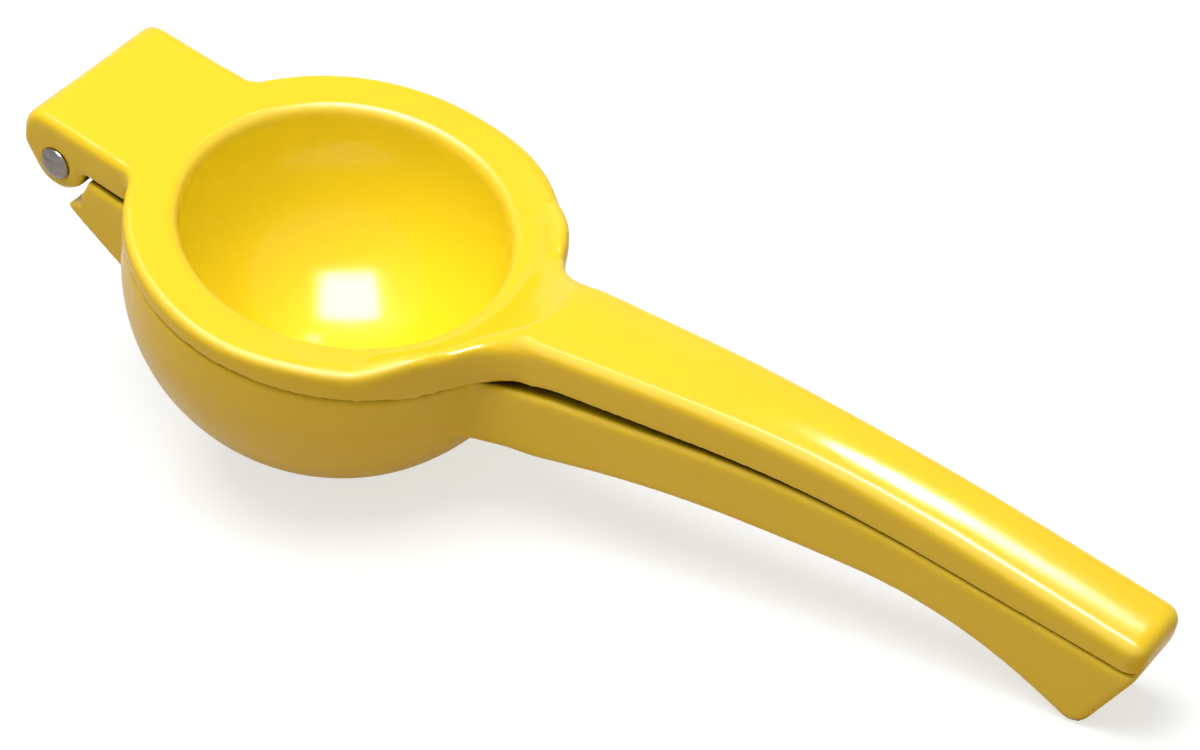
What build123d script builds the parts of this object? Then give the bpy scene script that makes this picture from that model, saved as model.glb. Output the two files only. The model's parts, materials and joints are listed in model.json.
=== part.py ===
from build123d import *
from math import asin, atan2, degrees, radians, sin, tan
import os

# Hinged lemon squeezer: two enamelled aluminium castings that turn on one steel rivet.
# Millimetres. Both castings are drawn level: the top of the press ring is Z = 0, its centre is
# the origin and the handles run along +X. At the end the closed tool is tipped onto its bowl
# and the heel of its handle, the way it rests on a worktop.

# ---- Press ring and press cup ----
ring_radius = 38.0
ring_thickness = 4.3
ring_edge_round = 1.5
ring_width = 9.4
cup_flat_radius = 1.0
cup_straight_wall = 5.2
cup_wall = 3.0
cup_lip_round = 2.0
dome_root_round = 0.6

# ---- Strainer bowl ----
ring_overhang = 0.3
bowl_flat_radius = 2.6
bowl_straight_wall = 5.2
bowl_wall = 3.0
bowl_rim_round = 0.7
rim_gap = 0.35
drain_hole_radius = 1.8
inner_drain_circle = 9.0
inner_drain_count = 6
outer_drain_circle = 17.0
outer_drain_count = 12

# ---- Hinge ----
hinge_reach = 12.4
hinge_drop = 8.7
hinge_width = 33.0
block_overhang = 7.9
block_thickness = 8.2
block_slope = 0.6
block_corner_round = 4.0
block_notch_round = 3.0
bowl_clearance = 0.4
ear_radius = 5.7
ear_corner_round = 2.5
tongue_width = 13.4
tongue_clearance = 0.35
scoop_clearance = 2.7
neck_gap = 0.9
neck_slope = 26.0
neck_lip_reach = 2.8
neck_lip_drop = 8.4
neck_edge_round = 0.8

# ---- Rivet ----
rivet_radius = 2.4
rivet_bore_clearance = 0.05
rivet_head_radius = 3.1
rivet_head_height = 1.7
rivet_tail_radius = 3.2
rivet_tail_height = 0.9
rivet_rim_height = 0.35

# ---- Handles from above ----
handle_reach = 120.6
handle_bury = 10.0
handle_root_width = 22.0
handle_taper_reach = 62.0
handle_width = 14.0
handle_taper_blend = 500.0
flange_reach = 6.0
notch_round = 4.0

# ---- Press handle from the side ----
crown_height = 20.9
crown_rise = 12.0
crown_knee_reach = 60.0
crown_bend = 277.0
crown_radius = 34.0
ramp_inset = 2.2
ramp_radius = 2.5
ramp_sweep = 38.0
shoulder_reach = 22.6
shoulder_rise = 28.0
crown_edge_round = 2.2
crown_edge_band = 3.0
end_corner_round = 3.0

# ---- Parting line between the handles ----
parting_inset = 1.0
parting_start_bend = 4.0
parting_step_reach = 12.0
parting_step_height = 1.3
parting_step_bend = 20.0
parting_knee_height = 12.2
parting_knee_bend = 250.0
parting_end_height = 14.9
parting_edge_round = 0.6
parting_edge_band = 3.0
wedge_gap = 1.7
handle_gap = 0.25

# ---- Bowl handle from the side ----
underside_root_height = -22.9
underside_middle_reach = 34.0
underside_middle_height = -6.1
underside_middle_bend = 200.0
underside_knee_setback = 24.8
underside_knee_height = 5.2
underside_knee_bend = 70.0
heel_setback = 6.6
heel_height = -2.4
heel_round = 3.3
underside_edge_round = 1.2
bowl_handle_top_round = 0.9

# ---- Sizes that follow ----
cup_radius = ring_radius - ring_width
cup_corner_radius = cup_radius - cup_flat_radius
cup_floor_z = -cup_straight_wall - cup_corner_radius
dome_radius = cup_radius + cup_wall
dome_corner_radius = cup_corner_radius + cup_wall
dome_floor_z = cup_floor_z - cup_wall
rim_z = -ring_thickness - rim_gap
bowl_radius = ring_radius - ring_overhang
bowl_corner_radius = bowl_radius - bowl_flat_radius
bowl_floor_z = rim_z - bowl_straight_wall - bowl_corner_radius
hinge_x = -ring_radius - hinge_reach
hinge_z = -hinge_drop
hinge_face = hinge_width / 2
block_end = hinge_x - block_overhang
ear_side = hinge_x + ear_radius
slot_width = tongue_width + 2 * tongue_clearance
slot_roof_z = hinge_z + ear_radius + tongue_clearance
scoop_radius = ear_radius + scoop_clearance
neck_top_z = -block_thickness - neck_gap
neck_lip_x = hinge_x + neck_lip_reach
neck_lip_z = hinge_z - neck_lip_drop
tongue_root = scoop_radius - neck_lip_reach + neck_edge_round
handle_root = ring_radius - handle_bury
handle_end = ring_radius + handle_reach
handle_taper_end = ring_radius + handle_taper_reach
crown_knee = ring_radius + crown_knee_reach
ramp_start = cup_radius + ramp_inset
parting_start = ring_radius - parting_inset
parting_step = ring_radius + parting_step_reach
heel = Vector(handle_end - heel_setback, heel_height)
underside_knee = heel.X - underside_knee_setback
underside_middle_point = Vector(ring_radius + underside_middle_reach, underside_middle_height)
end_foot = Vector(handle_end, parting_end_height - handle_gap)
underside_knee_point = Vector(underside_knee, underside_knee_height)
beyond = 20.0


def vessel_section(radius, top, floor, corner_radius, collar_height=0, collar_round=0):
    """Half section of a round vessel: straight wall, quarter arc and a small flat floor.

    A collar above the top is a little wider and meets the wall in a round.
    """
    with BuildSketch(Plane.XZ) as section:
        with BuildLine():
            Polyline((0, floor), (0, top), (radius, top), (radius, floor + corner_radius))
            TangentArc(
                (radius, floor + corner_radius), (radius - corner_radius, floor), tangent=(0, -1)
            )
            Line((radius - corner_radius, floor), (0, floor))
        make_face()
        if collar_height > 0:
            with Locations((0, top)):
                Rectangle(radius + 1.2 * collar_round, collar_height, align=(Align.MIN, Align.MIN))
            fillet(section.vertices().sort_by_distance((radius, top))[0], radius=collar_round)
    return section.sketch


def handle_plan(level):
    """Both handles from above: a taper that eases into parallel sides."""
    with BuildSketch(Plane.XY.offset(level)) as plan:
        with BuildLine():
            Polyline(
                (handle_root, -handle_root_width / 2),
                (handle_taper_end, -handle_width / 2),
                (handle_end + beyond, -handle_width / 2),
                (handle_end + beyond, handle_width / 2),
                (handle_taper_end, handle_width / 2),
                (handle_root, handle_root_width / 2),
                close=True,
            )
        make_face()
        knees = plan.vertices().sort_by(Axis.X)[2:4]
        fillet(knees, radius=handle_taper_blend)
    return plan.sketch


def mating_line(level, wedge, gap):
    """Side view of a handle's mating face, from under the ring to the handle's end."""
    return FilletPolyline(
        (handle_root, level),
        (parting_start, level),
        (parting_step, parting_step_height - wedge),
        (crown_knee, parting_knee_height - gap),
        (handle_end, parting_end_height - gap),
        radius=[parting_start_bend, parting_step_bend, parting_knee_bend],
    )


def crown_z(x):
    """Height of the crown's middle line, taken as two straight lines."""
    return min(crown_height, crown_height - (crown_knee - x) * tan(radians(crown_rise)))


def parting_z(x):
    """Height of the parting line, taken as straight lines from corner to corner."""
    corners = [
        (parting_start, -ring_thickness),
        (parting_step, parting_step_height),
        (crown_knee, parting_knee_height),
        (handle_end, parting_end_height),
    ]
    for (x0, z0), (x1, z1) in zip(corners, corners[1:]):
        if x < x1:
            return z0 + (max(x, x0) - x0) * (z1 - z0) / (x1 - x0)
    return parting_end_height


def is_on_ring(vertex):
    """Corners where a straight side meets the ring's circle."""
    return abs(Vector(vertex.X, vertex.Y).length - ring_radius) < 0.01


def is_top_outline(edge):
    """Outer edges of the ring's top and of the hinge block's two sides."""
    middle = edge @ 0.5
    on_top = middle.Z > -0.01 and Vector(middle.X, middle.Y).length > cup_radius
    on_side = abs(middle.Y) > hinge_face - 0.01
    on_block = middle.X < -ring_radius or middle.Z < -block_thickness + 0.01
    across = abs((edge % 0.5).Y) > 0.999
    return not across and (on_top or (on_side and on_block))


def is_shoulder_rim(edge):
    """Upper outer edges of the shoulders, on the ring's circle and above its top."""
    return is_on_ring(edge @ 0.5) and (edge @ 0.5).Z > 0.01


def is_crown_edge(edge):
    """Edges that bound the crown: both long ones and the one across the end."""
    middle = edge.center()
    beside = abs(middle.Y) > 1 or middle.X > handle_end - 1
    near_crown = middle.Z > crown_z(middle.X) - crown_edge_band
    return beside and near_crown and middle.X > handle_root + 1


def is_parting_edge(edge):
    """Edges along the parting line and across its end, on either handle."""
    middle = edge @ 0.5
    upright = abs((edge % 0.5).Z) > 0.9999
    beside = abs(middle.Y) > 1 or middle.X > handle_end - 1
    near_parting = abs(middle.Z - parting_z(middle.X)) < parting_edge_band
    return beside and near_parting and not upright and middle.X > handle_root + 1


def is_press_parting_edge(edge):
    """Parting edges of the press handle, clear of the ring's underside."""
    return is_parting_edge(edge) and (edge @ 0.5).X > parting_step


def is_palm_edge(edge):
    """Side edges along the underside and up the end of the bowl handle."""
    middle = edge @ 0.5
    upright = abs((edge % 0.5).Z) > 0.9999
    beside = abs(middle.Y) > 1 and middle.X > handle_root + 1
    return beside and not upright and middle.Z < parting_z(middle.X) - parting_edge_band


# ---- Ramp: the room above the cone that carries the ring's top up to the crown ----
with BuildSketch(Plane.XZ) as ramp_cut:
    with BuildLine():
        ramp = JernArc((ramp_start, 0), (1, 0), ramp_radius, ramp_sweep)
        ramp_end = ramp @ 1 + ramp % 1 * beyond
        Polyline(ramp @ 1, ramp_end, (ramp_end.X, 2 * beyond), (0, 2 * beyond), (0, 0), ramp @ 0)
    make_face()

# ---- Shoulders: the ring's rim climbs on both sides of the ramp ----
with BuildPart() as shoulders:
    with BuildSketch(Plane.XY.offset(-ring_thickness)):
        Circle(ring_radius)
    extrude(amount=ring_thickness + beyond)
    with BuildSketch(Plane.XZ):
        with Locations((shoulder_reach, 0)):
            Polygon(
                (0, -ring_thickness),
                (0, 0),
                (ring_radius, ring_radius * tan(radians(shoulder_rise))),
                (ring_radius, -ring_thickness),
                align=None,
            )
    extrude(amount=ring_radius, both=True, mode=Mode.INTERSECT)
    revolve(ramp_cut.sketch, axis=Axis.Z, mode=Mode.SUBTRACT)
    fillet(shoulders.edges().filter_by(is_shoulder_rim), radius=ring_edge_round)

# ---- Press handle ----
with BuildPart() as press_handle:
    extrude(handle_plan(-ring_thickness), amount=crown_height + ring_thickness + beyond)
    with BuildSketch(Plane.XY.offset(-ring_thickness)):
        with Locations((handle_root, 0)):
            Rectangle(handle_end - handle_root, 2 * ring_radius, align=(Align.MIN, Align.CENTER))
    extrude(amount=crown_height + ring_thickness + beyond, mode=Mode.INTERSECT)

    # the crown is a round bar's back: one circle swept along the handle's bend
    crown_start = crown_height - crown_knee * tan(radians(crown_rise))
    with BuildLine(Plane.XZ) as crown_line:
        FilletPolyline(
            (0, crown_start),
            (crown_knee, crown_height),
            (handle_end + beyond, crown_height),
            radius=crown_bend,
        )
    crown_path = crown_line.line
    crown_plane = Plane(crown_path @ 0, x_dir=(0, 1, 0), z_dir=crown_path % 0)
    with BuildSketch(crown_plane):
        with Locations((0, -crown_radius)):
            Circle(crown_radius)
    sweep(path=crown_path, mode=Mode.INTERSECT)

    end_corners = press_handle.edges().filter_by(Axis.Z).filter_by_position(
        Axis.X, handle_end - 0.1, handle_end + 0.1
    )
    fillet(end_corners, radius=end_corner_round)
    fillet(press_handle.edges().filter_by(is_crown_edge), radius=crown_edge_round)

    revolve(ramp_cut.sketch, axis=Axis.Z, mode=Mode.SUBTRACT)

# ---- Hinge block: a clevis with two rounded ears and a slot for the tongue ----
with BuildPart() as hinge_block:
    with BuildSketch(Plane.XZ) as block_side:
        with Locations((hinge_x, hinge_z)):
            Circle(ear_radius)
        with Locations((block_end, -block_thickness)):
            Rectangle(
                ear_side - block_end,
                block_thickness - ring_edge_round,
                align=(Align.MIN, Align.MIN),
            )
        make_hull()
        with BuildLine():
            Polyline(
                (block_end, -block_thickness),
                (-cup_radius, -block_thickness),
                (-cup_radius, 0),
                (-ring_radius, 0),
                (block_end, -(-ring_radius - block_end) * tan(radians(block_slope))),
                close=True,
            )
        make_face()
        top_corner = block_side.vertices().sort_by(Axis.X)[:2].sort_by(Axis.Y)[-1]
        fillet(top_corner, radius=block_corner_round)
        low_corner = block_side.vertices().sort_by(Axis.X)[:2].sort_by(Axis.Y)[0]
        fillet(low_corner, radius=ear_corner_round)
    extrude(amount=hinge_face, both=True)

# ---- Press arm: ring, cup, block and handle in one casting ----
with BuildPart() as press_arm:
    with BuildSketch() as flange:
        Circle(ring_radius)
        add(handle_plan(0))
        with Locations((-ring_radius, 0)):
            Rectangle(ring_radius, hinge_width, align=(Align.MIN, Align.CENTER))
        notches = flange.vertices().filter_by(is_on_ring)
        fillet(notches.sort_by(Axis.X)[:2], radius=block_notch_round)
        fillet(notches.sort_by(Axis.X)[2:], radius=notch_round)
        with Locations((-ring_radius, 0)):
            Rectangle(
                2 * ring_radius + flange_reach,
                3 * ring_radius,
                align=(Align.MIN, Align.CENTER),
                mode=Mode.INTERSECT,
            )
    extrude(amount=-ring_thickness)
    add(hinge_block.part)
    outline = press_arm.edges().filter_by(is_top_outline)
    fillet(outline, radius=ring_edge_round)
    add(shoulders.part)
    add(press_handle.part)
    with BuildSketch(Plane.XZ):
        with BuildLine():
            mating = mating_line(-ring_thickness, 0, 0)
            Polyline(mating @ 1, (handle_end, -beyond), (handle_root, -beyond), mating @ 0)
        make_face()
    extrude(amount=ring_radius, both=True, mode=Mode.SUBTRACT)
    fillet(press_arm.edges().filter_by(is_press_parting_edge), radius=parting_edge_round)
    with BuildSketch(Plane.XY.offset(-ring_thickness)):
        Circle(bowl_radius + bowl_clearance)
    extrude(amount=-beyond, mode=Mode.SUBTRACT)
    with BuildSketch(Plane.XZ):
        with Locations((hinge_x + scoop_radius + tongue_clearance, slot_roof_z)):
            Rectangle(4 * scoop_radius, 4 * scoop_radius, align=(Align.MAX, Align.MAX))
    extrude(amount=slot_width / 2, both=True, mode=Mode.SUBTRACT)
    with BuildSketch(Plane.XZ):
        with Locations((hinge_x, hinge_z)):
            Circle(rivet_radius)
    extrude(amount=hinge_face, both=True, mode=Mode.SUBTRACT)
    dome = vessel_section(
        dome_radius,
        -ring_thickness,
        dome_floor_z,
        dome_corner_radius,
        ring_thickness / 2,
        dome_root_round,
    )
    revolve(dome, axis=Axis.Z)
    cup = vessel_section(cup_radius, 0, cup_floor_z, cup_corner_radius, beyond, cup_lip_round)
    revolve(cup, axis=Axis.Z, mode=Mode.SUBTRACT)
press_arm.part.label = "press_arm"

# ---- Bowl handle ----
with BuildPart() as bowl_handle:
    with BuildSketch(Plane.XZ) as bowl_handle_side:
        with BuildLine():
            mating = mating_line(rim_z, wedge_gap, handle_gap)
            Polyline(
                mating @ 1,
                heel,
                underside_knee_point,
                underside_middle_point,
                (handle_root, underside_root_height),
                mating @ 0,
            )
        make_face()
        fillet(bowl_handle_side.vertices().sort_by_distance(heel)[0], radius=heel_round)
        fillet(
            bowl_handle_side.vertices().sort_by_distance(underside_middle_point)[0],
            radius=underside_middle_bend,
        )
        fillet(
            bowl_handle_side.vertices().sort_by_distance(underside_knee_point)[0],
            radius=underside_knee_bend,
        )
    extrude(amount=handle_root_width, both=True)
    extrude(handle_plan(-2 * beyond), amount=4 * beyond, mode=Mode.INTERSECT)
    fillet(bowl_handle.edges().filter_by(is_palm_edge), radius=underside_edge_round)
    fillet(bowl_handle.edges().filter_by(is_parting_edge), radius=bowl_handle_top_round)

# ---- Neck and tongue of the bowl arm ----
with BuildPart() as neck:
    with BuildSketch(Plane.XZ):
        with BuildLine():
            Polyline(
                (-cup_radius, neck_top_z),
                (neck_lip_x, neck_top_z),
                (neck_lip_x, neck_lip_z),
                (-cup_radius, neck_lip_z - (-cup_radius - neck_lip_x) * tan(radians(neck_slope))),
                close=True,
            )
        make_face()
        with Locations((hinge_x, hinge_z)):
            Circle(scoop_radius, mode=Mode.SUBTRACT)
    extrude(amount=hinge_face, both=True)
    long_edges = neck.faces().filter_by(Axis.Y).edges().filter_by(GeomType.LINE)
    fillet(long_edges.filter_by(Axis.Z, reverse=True), radius=neck_edge_round)
    with BuildSketch(Plane.XZ) as tongue_side:
        with Locations((hinge_x, hinge_z)):
            Circle(ear_radius)
        with Locations((neck_lip_x, neck_top_z)):
            Rectangle(tongue_root, neck_top_z - neck_lip_z, align=(Align.MIN, Align.MAX))
        make_hull()
    extrude(amount=tongue_width / 2, both=True)

# ---- Bowl arm: strainer bowl, neck and handle in one casting ----
with BuildPart() as bowl_arm:
    revolve(vessel_section(bowl_radius, rim_z, bowl_floor_z, bowl_corner_radius), axis=Axis.Z)
    rim = bowl_arm.edges().filter_by(GeomType.CIRCLE).sort_by(Axis.Z)[-1]
    fillet(rim, radius=bowl_rim_round)
    add(bowl_handle.part)
    add(neck.part)
    bowl_hollow = vessel_section(
        bowl_radius - bowl_wall,
        rim_z,
        bowl_floor_z + bowl_wall,
        bowl_corner_radius - bowl_wall,
        beyond,
        bowl_rim_round,
    )
    revolve(bowl_hollow, axis=Axis.Z, mode=Mode.SUBTRACT)
    with BuildSketch(Plane.XY.offset(bowl_floor_z)):
        Circle(drain_hole_radius)
        with PolarLocations(inner_drain_circle, inner_drain_count):
            Circle(drain_hole_radius)
        with PolarLocations(outer_drain_circle, outer_drain_count):
            Circle(drain_hole_radius)
    extrude(amount=beyond, mode=Mode.SUBTRACT)
    with BuildSketch(Plane.XZ):
        with Locations((hinge_x, hinge_z)):
            Circle(rivet_radius + rivet_bore_clearance)
    extrude(amount=hinge_face, both=True, mode=Mode.SUBTRACT)
bowl_arm.part.label = "bowl_arm"

# ---- Hinge rivet: shank, domed head on the near ear and formed tail on the far one ----
with BuildPart() as hinge_rivet:
    with BuildSketch(Plane.XY.offset(hinge_z)) as rivet_section:
        with BuildLine():
            head_rim = (hinge_x + rivet_head_radius, -hinge_face - rivet_rim_height)
            tail_rim = (hinge_x + rivet_tail_radius, hinge_face + rivet_rim_height)
            Polyline(
                (hinge_x, -hinge_face - rivet_head_height),
                (hinge_x, hinge_face + rivet_tail_height),
            )
            TangentArc((hinge_x, hinge_face + rivet_tail_height), tail_rim, tangent=(1, 0))
            Polyline(
                tail_rim,
                (hinge_x + rivet_tail_radius, hinge_face),
                (hinge_x + rivet_radius, hinge_face),
                (hinge_x + rivet_radius, -hinge_face),
                (hinge_x + rivet_head_radius, -hinge_face),
                head_rim,
            )
            TangentArc((hinge_x, -hinge_face - rivet_head_height), head_rim, tangent=(1, 0))
        make_face()
    revolve(axis=Axis((hinge_x, 0, hinge_z), (0, 1, 0)))
hinge_rivet.part.label = "hinge_rivet"

# ---- At rest: the bowl's corner arc and the heel's arc share one level tangent ----
to_end = (end_foot - heel).normalized()
to_knee = (underside_knee_point - heel).normalized()
heel_half_angle = radians(to_end.get_angle(to_knee) / 2)
heel_centre = heel + (to_end + to_knee).normalized() * (heel_round / sin(heel_half_angle))
bowl_centre = Vector(bowl_radius - bowl_corner_radius, bowl_floor_z + bowl_corner_radius)
stance = heel_centre - bowl_centre
lean = asin((bowl_corner_radius - heel_round) / stance.length)
rest_tilt = degrees(atan2(stance.Y, stance.X) + lean)

pieces = [bowl_arm, press_arm, hinge_rivet]
for piece in pieces:
    piece.part.move(Rotation(0, rest_tilt, 0))
whole = Compound([piece.part for piece in pieces]).bounding_box()
to_worktop = Location((-whole.center().X, -whole.center().Y, -whole.min.Z))
for piece in pieces:
    piece.part.move(to_worktop)

os.makedirs("parts", exist_ok=True)
for piece in pieces:
    export_step(piece.part, f"parts/{piece.part.label}.step")
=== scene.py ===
import bpy
import json
import math
from mathutils import Euler, Matrix, Vector

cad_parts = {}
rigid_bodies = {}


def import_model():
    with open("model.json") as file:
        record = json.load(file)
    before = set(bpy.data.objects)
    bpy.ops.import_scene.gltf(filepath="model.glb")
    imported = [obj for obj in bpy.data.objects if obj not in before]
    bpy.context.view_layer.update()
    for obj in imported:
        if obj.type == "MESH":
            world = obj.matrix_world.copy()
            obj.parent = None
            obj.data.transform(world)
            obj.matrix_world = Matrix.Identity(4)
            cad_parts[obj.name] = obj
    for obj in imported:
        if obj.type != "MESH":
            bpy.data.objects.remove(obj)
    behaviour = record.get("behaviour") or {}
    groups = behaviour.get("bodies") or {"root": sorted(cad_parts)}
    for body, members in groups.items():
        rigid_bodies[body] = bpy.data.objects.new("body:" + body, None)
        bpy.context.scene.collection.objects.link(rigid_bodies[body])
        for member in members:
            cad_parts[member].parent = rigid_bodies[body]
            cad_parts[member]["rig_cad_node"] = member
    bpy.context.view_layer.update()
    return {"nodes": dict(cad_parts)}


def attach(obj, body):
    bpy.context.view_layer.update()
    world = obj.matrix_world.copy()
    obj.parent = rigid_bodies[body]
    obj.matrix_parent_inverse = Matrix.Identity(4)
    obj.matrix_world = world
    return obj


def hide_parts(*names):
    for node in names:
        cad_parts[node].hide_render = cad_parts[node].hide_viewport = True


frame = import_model()
mm = 0.001

# ---- Castings ----
casting_voxel = 0.45 * mm
casting_triangles = 186000
rivet_voxel = 0.2 * mm
edge_merge_distance = 0.001 * mm
# a solid is turned askew while its skin is made, so that no edge runs along the voxels
skin_askew = (31, 23, 37)
skin_turn = Euler([math.radians(angle) for angle in skin_askew], "XYZ").to_matrix().to_4x4()

# share of one smoothing step, and the number of steps for every skin and for each zone
smooth_share = 0.5
skin_steps = 10
ramp_steps = 40
notch_steps = 160
block_steps = 25
end_steps = 6
bowl_root_steps = 90
lip_steps = 12

# the castings were drawn level, with the ring's top centre as origin, and then leaned forward
casting_lean = math.radians(16.879966)
casting_place = Vector((-49.64051, 0, 45.28057)) * mm
to_world = Matrix.Translation(casting_place) @ Matrix.Rotation(casting_lean, 4, "Y")
to_casting = to_world.inverted()

# notches between ring and handle, in casting millimetres: along, outer side, bottom, top
notch_stations = (
    (34.4, 16.2, -4.0, 4.2),
    (35.5, 14.3, -4.0, 4.4),
    (37.0, 12.9, -3.7, 5.0),
    (39.0, 11.7, -3.0, 5.6),
    (41.0, 11.1, -2.1, 6.0),
    (42.5, 11.0, -1.5, 6.2),
)
notch_inner = 9.0
hinge_centre = (-50.4, -8.7)

# limits of the zones, each from none to full, in casting millimetres
above_ring_underside = (-3.9, -2.2)
ramp_foot_start = (19, 26)
ramp_foot_end = (42, 37)
outside_cup = (29.5, 31)
notch_middle = (38, 13)
notch_reach = (9, 4)
block_length = (-38, -42)
block_height = (-5, -2.5)
end_length = (151, 154)
end_height = (15, 16.5)
bowl_root_start = (27, 31)
bowl_root_end = (50, 42)
bowl_root_height = (-5.6, -8.5)
lip_length = (-44, -46)

# rise of the rim towards the handle: turn about the ring in degrees, the rest in millimetres
shoulder_rise = 0.9
shoulder_turn = (95, 58)
swell_rise = 0.4
swell_middle = 66
swell_width = 14
shoulder_across = (30, 36)
shoulder_fade = (120, 42)
shoulder_height = (-3.0, -0.8)

# scoop in the neck: distance from the hinge in millimetres, turn about it in degrees
scoop_shift = 1.5
scoop_near = (6, 7.5)
scoop_far = (11, 8.8)
scoop_turn_low = (-48, -30)
scoop_turn_high = (15, 3)


def select_only(piece):
    """Leaves one object selected and active."""
    bpy.ops.object.select_all(action="DESELECT")
    piece.select_set(True)
    bpy.context.view_layer.objects.active = piece


def edit_all(work, **settings):
    """Does one piece of mesh work on the whole active object."""
    bpy.ops.object.mode_set(mode="EDIT")
    bpy.ops.mesh.select_all(action="SELECT")
    work(**settings)
    bpy.ops.object.mode_set(mode="OBJECT")


def apply_modifier(piece, kind, **settings):
    """Adds one modifier with its settings and applies it."""
    select_only(piece)
    modifier = piece.modifiers.new(kind.lower(), kind)
    for name, value in settings.items():
        setattr(modifier, name, value)
    bpy.ops.object.modifier_apply(modifier=modifier.name)


def smooth(piece, steps, **settings):
    """Smooths a piece, or one vertex group of it."""
    apply_modifier(piece, "SMOOTH", factor=smooth_share, iterations=steps, **settings)


def notch_filler(side):
    """A wedge for one notch between the ring's rim and the handle's side."""
    corners = []
    for along, out, bottom, top in notch_stations:
        across = ((notch_inner, bottom), (out, bottom), (out, top), (notch_inner, top))
        corners += [to_world @ (Vector((along, side * y, z)) * mm) for y, z in across]
    # every station has four corners, which are joined to those of the next station
    last = len(corners) - 4
    faces = [(0, 1, 2, 3), (last, last + 1, last + 2, last + 3)]
    for start in range(0, last, 4):
        for corner in range(4):
            here = start + corner
            beside = start + (corner + 1) % 4
            faces.append((here, beside, beside + 4, here + 4))
    mesh = bpy.data.meshes.new("notch_filler")
    mesh.from_pydata(corners, [], faces)
    filler = bpy.data.objects.new("notch_filler", mesh)
    bpy.context.scene.collection.objects.link(filler)
    select_only(filler)
    edit_all(bpy.ops.mesh.normals_make_consistent, inside=False)
    return filler


def soft_skin(node, name, body, voxel, fillers=()):
    """The skin of one CAD solid with soft edges, such as enamel flowed over cast metal."""
    select_only(frame["nodes"][node])
    bpy.ops.object.duplicate()
    skin = bpy.context.active_object
    skin.name = name
    skin.parent = None
    del skin["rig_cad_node"]
    skin.data.materials.clear()
    edit_all(bpy.ops.mesh.remove_doubles, threshold=edge_merge_distance)
    for filler in fillers:
        filler.select_set(True)
    if fillers:
        bpy.ops.object.join()
    skin.data.transform(skin_turn)
    apply_modifier(skin, "REMESH", mode="VOXEL", voxel_size=voxel, adaptivity=0.0)
    skin.data.transform(skin_turn.inverted())
    smooth(skin, skin_steps)
    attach(skin, body)
    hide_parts(node)
    return skin


def between(value, low, high):
    """0 below low, 1 above high and a soft step in between; low may be the larger one."""
    share = min(max((value - low) / (high - low), 0), 1)
    return share * share * (3 - 2 * share)


def soften(skin, zone, steps):
    """Smooths one zone of a casting; the zone gives 0 to 1 for a place in casting millimetres."""
    group = skin.vertex_groups.new(name="zone")
    for vertex in skin.data.vertices:
        weight = zone(*(to_casting @ vertex.co / mm))
        if weight > 0:
            group.add([vertex.index], weight, "REPLACE")
    smooth(skin, steps, vertex_group=group.name)
    skin.vertex_groups.clear()


def ramp_zone(x, y, z):
    """The foot of the ramp, where it rises out of the ring."""
    across = math.hypot(x, y)
    along = between(x, *ramp_foot_start) * between(across, *ramp_foot_end)
    return along * between(across, *outside_cup) * between(z, *above_ring_underside)


def notch_zone(x, y, z):
    """The two hollows between the ring's rim and the handle's sides."""
    along, out = notch_middle
    away = math.dist((x, y), (along, math.copysign(out, y)))
    return between(away, *notch_reach) * between(z, *above_ring_underside)


def block_zone(x, y, z):
    """Top edges and corners of the hinge block."""
    return between(x, *block_length) * between(z, *block_height)


def end_zone(x, y, z):
    """Corners at the press handle's free end."""
    return between(x, *end_length) * between(z, *end_height)


def bowl_root_zone(x, y, z):
    """Where the bowl's side runs into the bowl handle."""
    along = between(x, *bowl_root_start) * between(x, *bowl_root_end)
    return along * between(z, *bowl_root_height)


def lip_zone(x, y, z):
    """Tip of the neck under the hinge."""
    return between(x, *lip_length)


def shoulder_lift(x, y, z):
    """Eases the ring's rim into its rise towards the handle."""
    across = math.hypot(x, y)
    turn = math.degrees(math.atan2(abs(y), x))
    swell = swell_rise * math.exp(-(((turn - swell_middle) / swell_width) ** 2))
    rise = shoulder_rise * between(turn, *shoulder_turn) + swell
    rise *= between(across, *shoulder_across)
    rise *= between(x, *shoulder_fade)
    return 0, 0, rise * between(z, *shoulder_height)


def scoop_fill(x, y, z):
    """Brings the scoop in the neck nearer to the ears' round underside."""
    across = Vector((x, z)) - Vector(hinge_centre)
    away = across.length
    turn = math.degrees(math.atan2(across.y, across.x))
    share = between(away, *scoop_near) * between(away, *scoop_far)
    share *= between(turn, *scoop_turn_low)
    share *= between(turn, *scoop_turn_high)
    step = across * (-scoop_shift * share / away)
    return step.x, 0, step.y


def reshape(skin, shift):
    """Moves a casting's surface; the shift is in casting millimetres for such a place."""
    turn = to_world.to_3x3() * mm
    for vertex in skin.data.vertices:
        vertex.co += turn @ Vector(shift(*(to_casting @ vertex.co / mm)))


fillers = [notch_filler(1), notch_filler(-1)]
press_skin = soft_skin("press_arm", "press_casting", "press_side", casting_voxel, fillers)
reshape(press_skin, shoulder_lift)
soften(press_skin, ramp_zone, ramp_steps)
soften(press_skin, notch_zone, notch_steps)
soften(press_skin, block_zone, block_steps)
soften(press_skin, end_zone, end_steps)
bowl_skin = soft_skin("bowl_arm", "bowl_casting", "bowl_side", casting_voxel)
reshape(bowl_skin, scoop_fill)
soften(bowl_skin, bowl_root_zone, bowl_root_steps)
soften(bowl_skin, lip_zone, lip_steps)
rivet_skin = soft_skin("hinge_rivet", "rivet", "press_side", rivet_voxel)
for skin in (press_skin, bowl_skin):
    apply_modifier(skin, "DECIMATE", ratio=casting_triangles / (2 * len(skin.data.polygons)))
for skin in (press_skin, bowl_skin, rivet_skin):
    select_only(skin)
    bpy.ops.object.shade_smooth()

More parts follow.
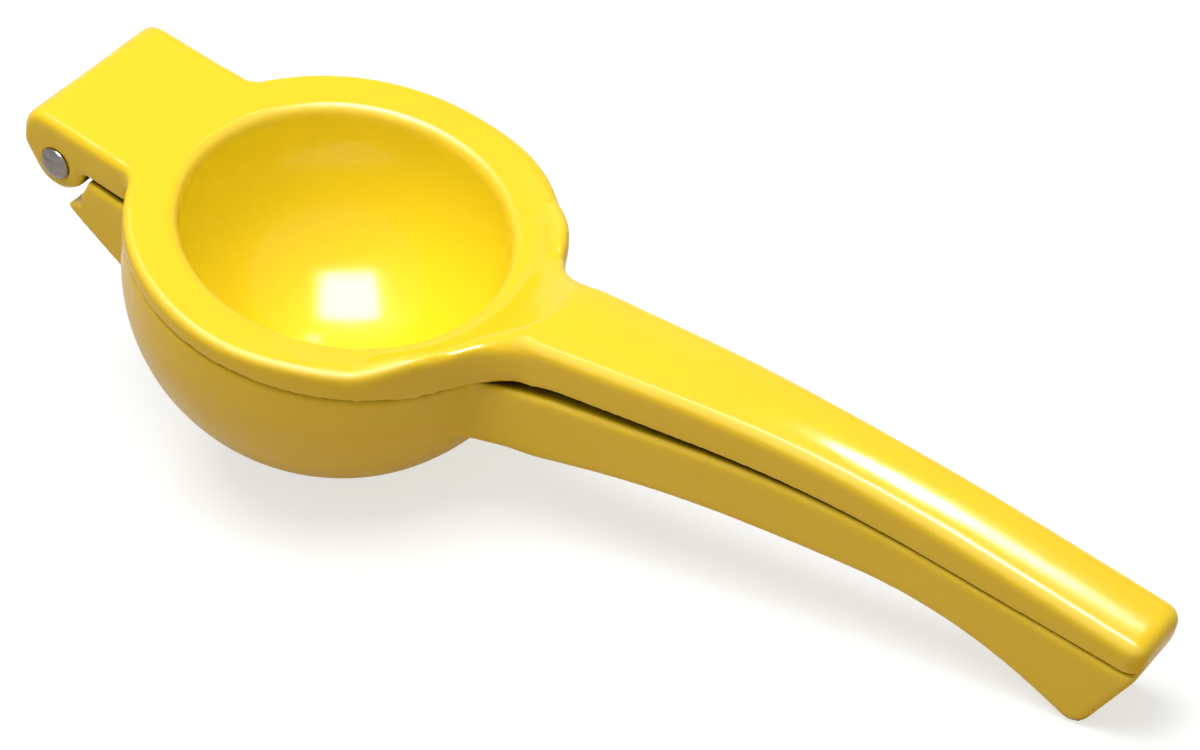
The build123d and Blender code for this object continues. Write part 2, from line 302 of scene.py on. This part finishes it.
# ---- Materials ----
# enamel: two tones, painted shade darkening its gaps, the light it throws on other surfaces,
# roughness
enamel_tones = ((0.935, 0.618, 0.016, 1), (0.965, 0.648, 0.020, 1))
enamel_painted_shade = (0.030, 0.012, 0.004, 1)
enamel_painted_shade_reach = 7 * mm
enamel_painted_shade_range = (0.14, 0.56)
enamel_thrown = (0.82, 0.80, 0.10, 1)
enamel_roughness = (0.145, 0.185)
enamel_ior = 1.43
enamel_patch_scale = 45.0
enamel_peel_scale = 900.0
enamel_peel_strength = 0.06
enamel_peel_depth = 0.02 * mm

# bands where the enamel is less glossy: middle, full reach and end of reach, in metres; the
# slope and the facing are cosines
lip_band = (0.0278, 0.0014, 0.0026)
rim_band = (0.0372, 0.0016, 0.0036)
beside_handles = (0.0, 0.028, 0.032)
ring_height = (0.003, 0.006, 0.0085)
slope_band = (0.5, 0.45, 0.495)
side_facing = (0.62, 0.2, 0.32)
handle_length = (0.105, 0.06, 0.065)
handle_edge_strength = 1.6
rim_dullness = 0.38

# rivet steel: two tones, painted shade round its head, roughness and the grain's turn and scale
steel_tones = ((0.27, 0.245, 0.24, 1), (0.34, 0.315, 0.305, 1))
steel_painted_shade = (0.06, 0.045, 0.03, 1)
steel_painted_shade_reach = 1.2 * mm
steel_painted_shade_range = (0.35, 0.75)
steel_roughness = (0.24, 0.32)
steel_grain_turn = math.radians(35)
steel_grain_scale = (900, 900, 6000)

# the middle part of a noise pattern, which is spread over the full range of a value
noise_low, noise_high = 0.3, 0.7
# samples of the ambient occlusion that places painted shade
painted_shade_samples = 12


def new_material(name):
    """An empty node material, its nodes and links and its Principled shader."""
    material = bpy.data.materials.new(name)
    material.use_nodes = True
    tree = material.node_tree
    return material, tree.nodes, tree.links, tree.nodes["Principled BSDF"]


def add_node(nodes, kind, **inputs):
    """Adds one node and sets inputs by name, with underscores for spaces."""
    node = nodes.new(kind)
    for name, value in inputs.items():
        node.inputs[name.replace("_", " ")].default_value = value
    return node


def colour_mix(nodes, first=None, second=None):
    """Places a mix of two colours; a colour that isn't given comes through a link."""
    mix = nodes.new("ShaderNodeMix")
    mix.data_type = "RGBA"
    for name, colour in (("A", first), ("B", second)):
        if colour:
            mix.inputs[name].default_value = colour
    return mix


def surface_drift_group():
    """Soft patches and an orange-peel skin over a surface, from Object coordinates."""
    tree = bpy.data.node_groups.new("surface_drift", "ShaderNodeTree")
    socket = tree.interface.new_socket
    socket("Patch Scale", in_out="INPUT", socket_type="NodeSocketFloat")
    socket("Peel Scale", in_out="INPUT", socket_type="NodeSocketFloat")
    socket("Patches", in_out="OUTPUT", socket_type="NodeSocketFloat")
    socket("Peel", in_out="OUTPUT", socket_type="NodeSocketFloat")
    nodes, links = tree.nodes, tree.links
    given = nodes.new("NodeGroupInput")
    put_out = nodes.new("NodeGroupOutput")
    place = nodes.new("ShaderNodeTexCoord")
    patches = add_node(nodes, "ShaderNodeTexNoise", Detail=3.0, Roughness=0.5)
    peel = add_node(nodes, "ShaderNodeTexNoise", Detail=1.0, Roughness=0.4)
    links.new(place.outputs["Object"], patches.inputs["Vector"])
    links.new(place.outputs["Object"], peel.inputs["Vector"])
    links.new(given.outputs["Patch Scale"], patches.inputs["Scale"])
    links.new(given.outputs["Peel Scale"], peel.inputs["Scale"])
    links.new(patches.outputs["Fac"], put_out.inputs["Patches"])
    links.new(peel.outputs["Fac"], put_out.inputs["Peel"])
    return tree


surface_drift = surface_drift_group()


def place_drift(nodes, patch_scale, peel_scale):
    """Places the surface drift group in a material."""
    drift = nodes.new("ShaderNodeGroup")
    drift.node_tree = surface_drift
    drift.inputs["Patch Scale"].default_value = patch_scale
    drift.inputs["Peel Scale"].default_value = peel_scale
    return drift


def remap(nodes, links, source, low, high):
    """Spreads a noise pattern over the values from low to high."""
    step = add_node(nodes, "ShaderNodeMapRange", From_Min=noise_low, From_Max=noise_high)
    step.inputs["To Min"].default_value = low
    step.inputs["To Max"].default_value = high
    links.new(source, step.inputs["Value"])
    return step.outputs["Result"]


def painted_gap_shade(nodes, links, colour, shade_colour, reach, start, end):
    """Paints shade into a colour: darker in deep gaps, where light hardly gets in."""
    # painted shade: ambient occlusion darkens the colour where surfaces are close
    shade_occlusion = add_node(nodes, "ShaderNodeAmbientOcclusion", Distance=reach)
    shade_occlusion.samples = painted_shade_samples
    step = add_node(nodes, "ShaderNodeMapRange", From_Min=start, From_Max=end)
    step.interpolation_type = "SMOOTHSTEP"
    mix = colour_mix(nodes, shade_colour)
    links.new(shade_occlusion.outputs["AO"], step.inputs["Value"])
    links.new(step.outputs["Result"], mix.inputs["Factor"])
    links.new(colour, mix.inputs["B"])
    return mix.outputs["Result"]


def calculate(nodes, links, operation, first, second=0.0):
    """One calculation on a value; the second one is a number or a socket."""
    step = nodes.new("ShaderNodeMath")
    step.operation = operation
    links.new(first, step.inputs[0])
    if isinstance(second, float):
        step.inputs[1].default_value = second
    else:
        links.new(second, step.inputs[1])
    return step.outputs["Value"]


def soft_band(nodes, links, source, middle, full, end):
    """1 up to the full reach from a middle value, falling to 0 at the end of the reach."""
    away = calculate(nodes, links, "ABSOLUTE", calculate(nodes, links, "SUBTRACT", source, middle))
    limits = {"From_Min": full, "From_Max": end, "To_Min": 1.0, "To_Max": 0.0}
    step = add_node(nodes, "ShaderNodeMapRange", **limits)
    step.interpolation_type = "SMOOTHSTEP"
    links.new(away, step.inputs["Value"])
    return step.outputs["Result"]


def rim_mask(nodes, links):
    """The ring's rim, the cup's lip and the handles' edges, where the enamel is less glossy."""
    place = nodes.new("ShaderNodeTexCoord")
    level = nodes.new("ShaderNodeMapping")
    level.inputs["Rotation"].default_value = (0, -casting_lean, 0)
    level.inputs["Location"].default_value = to_casting.translation
    split = nodes.new("ShaderNodeSeparateXYZ")
    links.new(place.outputs["Object"], level.inputs["Vector"])
    links.new(level.outputs["Vector"], split.inputs["Vector"])
    square = [calculate(nodes, links, "POWER", split.outputs[axis], 2.0) for axis in ("X", "Y")]
    across = calculate(nodes, links, "SQRT", calculate(nodes, links, "ADD", *square))
    lip = soft_band(nodes, links, across, *lip_band)
    rim = soft_band(nodes, links, across, *rim_band)
    beside = soft_band(nodes, links, split.outputs["X"], *beside_handles)
    rim = calculate(nodes, links, "MULTIPLY", rim, beside)
    height = soft_band(nodes, links, split.outputs["Z"], *ring_height)
    tilt = nodes.new("ShaderNodeVectorMath")
    tilt.operation = "DOT_PRODUCT"
    tilt.inputs[1].default_value = to_world.to_3x3() @ Vector((0, 0, 1))
    links.new(place.outputs["Normal"], tilt.inputs[0])
    sloped = soft_band(nodes, links, tilt.outputs["Value"], *slope_band)
    band = calculate(nodes, links, "MULTIPLY", calculate(nodes, links, "MAXIMUM", lip, rim), height)
    band = calculate(nodes, links, "MULTIPLY", band, sloped)
    facing = nodes.new("ShaderNodeSeparateXYZ")
    links.new(place.outputs["Normal"], facing.inputs["Vector"])
    sideways = calculate(nodes, links, "ABSOLUTE", facing.outputs["Y"])
    edge = soft_band(nodes, links, sideways, *side_facing)
    handle = soft_band(nodes, links, split.outputs["X"], *handle_length)
    edge = calculate(nodes, links, "MULTIPLY", edge, handle)
    edge = calculate(nodes, links, "MULTIPLY", edge, handle_edge_strength)
    return calculate(nodes, links, "MAXIMUM", band, edge)


def enamel_material():
    """Glossy yellow enamel with a faint orange peel; painted shade darkens its colour in the gaps.
    """
    material, nodes, links, shader = new_material("yellow_enamel")
    drift = place_drift(nodes, enamel_patch_scale, enamel_peel_scale)
    tone = colour_mix(nodes, *enamel_tones)
    links.new(drift.outputs["Patches"], tone.inputs["Factor"])
    # painted shade: the enamel's colour darkens in its gaps and creases
    shade_settings = (enamel_painted_shade, enamel_painted_shade_reach, *enamel_painted_shade_range)
    colour = painted_gap_shade(nodes, links, tone.outputs["Result"], *shade_settings)
    thrown = colour_mix(nodes, second=enamel_thrown)
    light_path = nodes.new("ShaderNodeLightPath")
    links.new(light_path.outputs["Is Diffuse Ray"], thrown.inputs["Factor"])
    links.new(colour, thrown.inputs["A"])
    links.new(thrown.outputs["Result"], shader.inputs["Base Color"])
    gloss = remap(nodes, links, drift.outputs["Patches"], *enamel_roughness)
    dull = calculate(nodes, links, "MULTIPLY", rim_mask(nodes, links), rim_dullness)
    links.new(calculate(nodes, links, "ADD", gloss, dull), shader.inputs["Roughness"])
    bump = add_node(nodes, "ShaderNodeBump", Strength=enamel_peel_strength)
    bump.inputs["Distance"].default_value = enamel_peel_depth
    links.new(drift.outputs["Peel"], bump.inputs["Height"])
    links.new(bump.outputs["Normal"], shader.inputs["Normal"])
    shader.inputs["IOR"].default_value = enamel_ior
    return material


def steel_material():
    """Formed rivet steel with a short brushed grain."""
    material, nodes, links, shader = new_material("brushed_rivet_steel")
    place = nodes.new("ShaderNodeTexCoord")
    turn = add_node(nodes, "ShaderNodeMapping", Rotation=(0, steel_grain_turn, 0))
    turn.inputs["Scale"].default_value = steel_grain_scale
    grain = add_node(nodes, "ShaderNodeTexNoise", Scale=1.0, Detail=2.0)
    links.new(place.outputs["Object"], turn.inputs["Vector"])
    links.new(turn.outputs["Vector"], grain.inputs["Vector"])
    shade = colour_mix(nodes, *steel_tones)
    links.new(remap(nodes, links, grain.outputs["Fac"], 0.0, 1.0), shade.inputs["Factor"])
    # painted shade: the steel's colour darkens round the rivet's head
    shade_settings = (steel_painted_shade, steel_painted_shade_reach, *steel_painted_shade_range)
    colour = painted_gap_shade(nodes, links, shade.outputs["Result"], *shade_settings)
    links.new(colour, shader.inputs["Base Color"])
    roughness = remap(nodes, links, grain.outputs["Fac"], *steel_roughness)
    links.new(roughness, shader.inputs["Roughness"])
    shader.inputs["Metallic"].default_value = 1.0
    return material


enamel = enamel_material()
press_skin.data.materials.append(enamel)
bowl_skin.data.materials.append(enamel)
rivet_skin.data.materials.append(steel_material())

# ---- Floor and background ----
floor_size = 6.0
floor_drop = 0.05 * mm
floor_roughness = 0.9
# the floor's colour, and the one for diffuse rays; its glow for the camera, and the warm painted
# light it glows onto the tool for other rays
floor_seen = (0.45, 0.45, 0.45, 1)
floor_bounce = (0.27, 0.25, 0.23, 1)
floor_glow = (0.64, 0.64, 0.64, 1)
floor_glow_on_tool = (0.22, 0.155, 0.10, 1)


def white_floor():
    """A wide floor just under the tool: white to the camera, dimmer to light that bounces, glowing
    warm painted light onto the tool.
    """
    bpy.ops.mesh.primitive_plane_add(size=floor_size, location=(0, 0, -floor_drop))
    floor = bpy.context.active_object
    floor.name = "floor"
    material, nodes, links, shader = new_material("floor_white")
    light_path = nodes.new("ShaderNodeLightPath")
    colour = colour_mix(nodes, floor_seen, floor_bounce)
    links.new(light_path.outputs["Is Diffuse Ray"], colour.inputs["Factor"])
    links.new(colour.outputs["Result"], shader.inputs["Base Color"])
    # painted light: to every ray but the camera's the floor glows warm and lights the tool from
    # below
    glow = colour_mix(nodes, floor_glow_on_tool, floor_glow)
    links.new(light_path.outputs["Is Camera Ray"], glow.inputs["Factor"])
    links.new(glow.outputs["Result"], shader.inputs["Emission Color"])
    shader.inputs["Emission Strength"].default_value = 1.0
    shader.inputs["Roughness"].default_value = floor_roughness
    shader.inputs["Specular IOR Level"].default_value = 0.0
    floor.data.materials.append(material)


white_floor()

# ---- Lights ----
# places, aims and sizes in metres, spins in degrees
strip_spread = math.radians(28)


def softbox(name, shape, place, aim, spin, width, height, watts):
    """One area lamp that points from its place to its aim, turned about its own axis."""
    lamp = bpy.data.lights.new(name, "AREA")
    lamp.shape = shape
    lamp.size = width
    lamp.size_y = height
    lamp.energy = watts
    box = bpy.data.objects.new(name, lamp)
    bpy.context.scene.collection.objects.link(box)
    box.location = place
    direction = Vector(aim) - Vector(place)
    turn = direction.to_track_quat("-Z", "Y").to_matrix()
    box.rotation_euler = (turn @ Matrix.Rotation(math.radians(spin), 3, "Z")).to_euler()
    return box


# lights the tool, but isn't mirrored in it
overhead = softbox(
    "overhead_softbox",
    "RECTANGLE",
    place=(-0.045, -0.05, 0.64),
    aim=(0, 0, 0.03),
    spin=0,
    width=0.5,
    height=0.5,
    watts=4.6,
)
overhead.visible_glossy = False

# is mirrored as the square glint in the cup
glint = softbox(
    "overhead_glint",
    "RECTANGLE",
    place=(0.075, -0.076, 0.643),
    aim=(-0.051, 0, 0.04),
    spin=-19.5,
    width=0.42,
    height=0.42,
    watts=15.5,
)
glint.visible_diffuse = False

# is mirrored as the long stripe on the upper handle
strip = softbox(
    "rear_strip",
    "ELLIPSE",
    place=(0.05, 0.35, 0.545),
    aim=(0.12, 0, 0.02),
    spin=0,
    width=0.22,
    height=0.07,
    watts=0.055,
)
strip.data.spread = strip_spread
strip.visible_diffuse = False

# ---- Surroundings ----
# brightness from low to high in mirrored surroundings, and for diffuse rays; white to the camera
wall_heights = (0.15, 0.6)
wall_mirrored = (0.75, 0.45)
wall_diffuse = 0.28

world = bpy.data.worlds.new("studio")
bpy.context.scene.world = world
world.use_nodes = True
nodes, links = world.node_tree.nodes, world.node_tree.links
background = nodes["Background"]
background.inputs["Color"].default_value = (1, 1, 1, 1)
light_path = nodes.new("ShaderNodeLightPath")
direction = nodes.new("ShaderNodeTexCoord")
split = nodes.new("ShaderNodeSeparateXYZ")
wall = nodes.new("ShaderNodeMapRange")
wall.inputs["From Min"].default_value, wall.inputs["From Max"].default_value = wall_heights
wall.inputs["To Min"].default_value, wall.inputs["To Max"].default_value = wall_mirrored
soft = nodes.new("ShaderNodeMix")
soft.inputs["B"].default_value = wall_diffuse
seen = nodes.new("ShaderNodeMath")
seen.operation = "MAXIMUM"
links.new(direction.outputs["Generated"], split.inputs["Vector"])
links.new(split.outputs["Z"], wall.inputs["Value"])
links.new(wall.outputs["Result"], soft.inputs["A"])
links.new(light_path.outputs["Is Diffuse Ray"], soft.inputs["Factor"])
links.new(soft.outputs["Result"], seen.inputs[0])
links.new(light_path.outputs["Is Camera Ray"], seen.inputs[1])
links.new(seen.outputs["Value"], background.inputs["Strength"])

# ---- Camera ----
# place and near limit in metres, turn in degrees, lens and sensor in millimetres
camera_place = (0.341119, -0.413799, 0.421029)
camera_turn = (53.7365, 5.2893, 35.4791)
camera_lens = 119.829
camera_sensor = 36.0
camera_near = 0.01

camera_data = bpy.data.cameras.new("camera")
camera_data.lens = camera_lens
camera_data.sensor_width = camera_sensor
camera_data.clip_start = camera_near
camera = bpy.data.objects.new("camera", camera_data)
bpy.context.scene.collection.objects.link(camera)
camera.location = camera_place
camera.rotation_euler = Euler([math.radians(angle) for angle in camera_turn], "XYZ")
bpy.context.scene.camera = camera
bpy.context.scene.view_settings.view_transform = "Standard"
